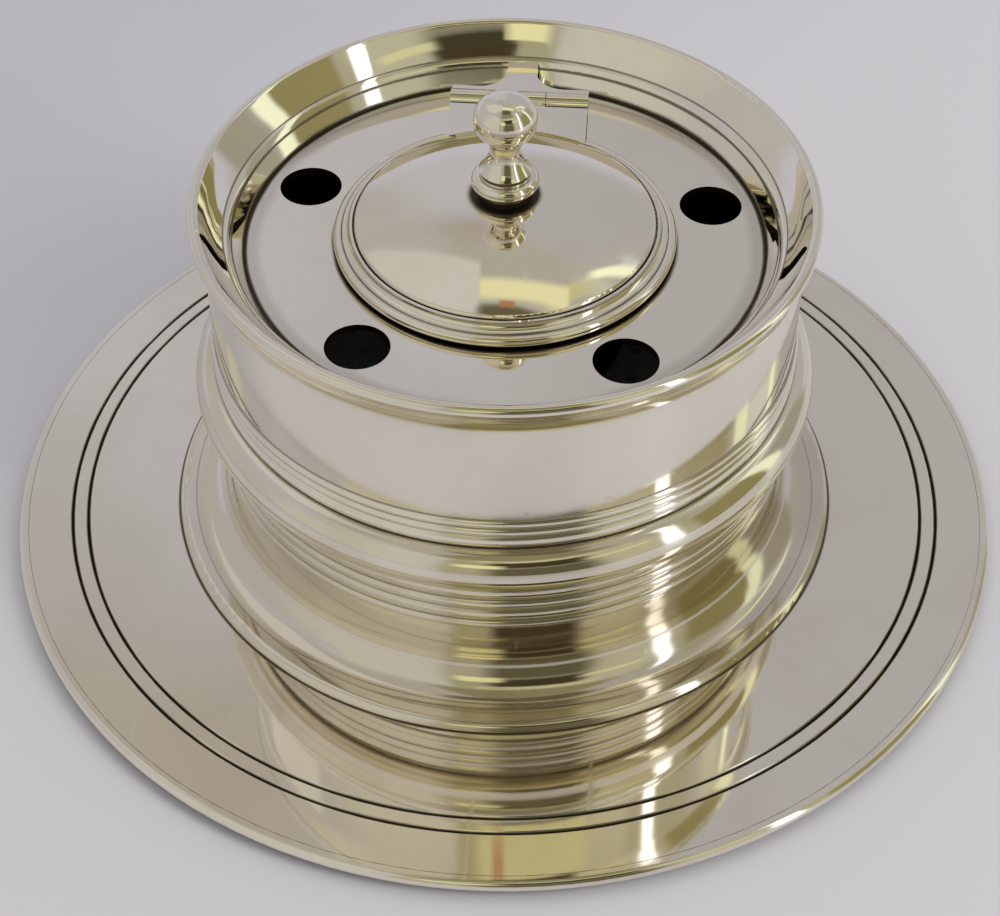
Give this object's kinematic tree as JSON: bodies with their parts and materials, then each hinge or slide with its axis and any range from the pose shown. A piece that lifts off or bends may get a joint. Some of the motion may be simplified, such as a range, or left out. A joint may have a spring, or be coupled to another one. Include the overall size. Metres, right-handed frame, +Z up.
{
  "type": "inkwell",
  "caption": "Capstan inkwell: a reeded silver drum on a wide round tray, with a sunk plate of pen holes, a glass liner and a hinged domed lid with a ball finial",
  "frame": {"origin": "centre of the baize underside, on the table", "axes": "+Z up through the finial; +Y from the centre towards the lid's hinge; +X to the right of someone who faces the inkwell with the hinge at the back"},
  "size_m": [0.1392, 0.1392, 0.0691],
  "materials": {
    "silver": "polished silver, lightly worn, dark in the grooves",
    "glass": "clear pressed glass",
    "board": "thin stained board",
    "baize": "green baize",
    "plaster": "set plaster loading",
    "brass": "turned brass",
    "pin_wire": "drawn wire"
  },
  "bodies": {
    "stand": {"baize_pad": "baize", "base_board": "board", "tray": "silver", "tray_edge": "silver", "loading": "plaster", "drum_lower": "silver", "drum_upper": "silver", "drum_bead": "silver", "rim": "silver", "pen_plate": "silver", "well_collar": "silver", "ink_liner": "glass", "hinge_block": "silver", "hinge_fixed_leaf": "silver", "hinge_pin": "pin_wire"},
    "lid": {"lid_dome": "silver", "lid_moulding": "silver", "lid_bezel": "silver", "finial": "silver", "finial_nut": "brass", "hinge_lid_leaf": "silver"}
  },
  "joints": [
    {"name": "lid_hinge", "type": "hinge", "parent": "stand", "child": "lid", "pos_m": [0, 0.0268, 0.04951], "axis": [-1, 0, 0], "range_deg": [0, 105]}
  ]
}
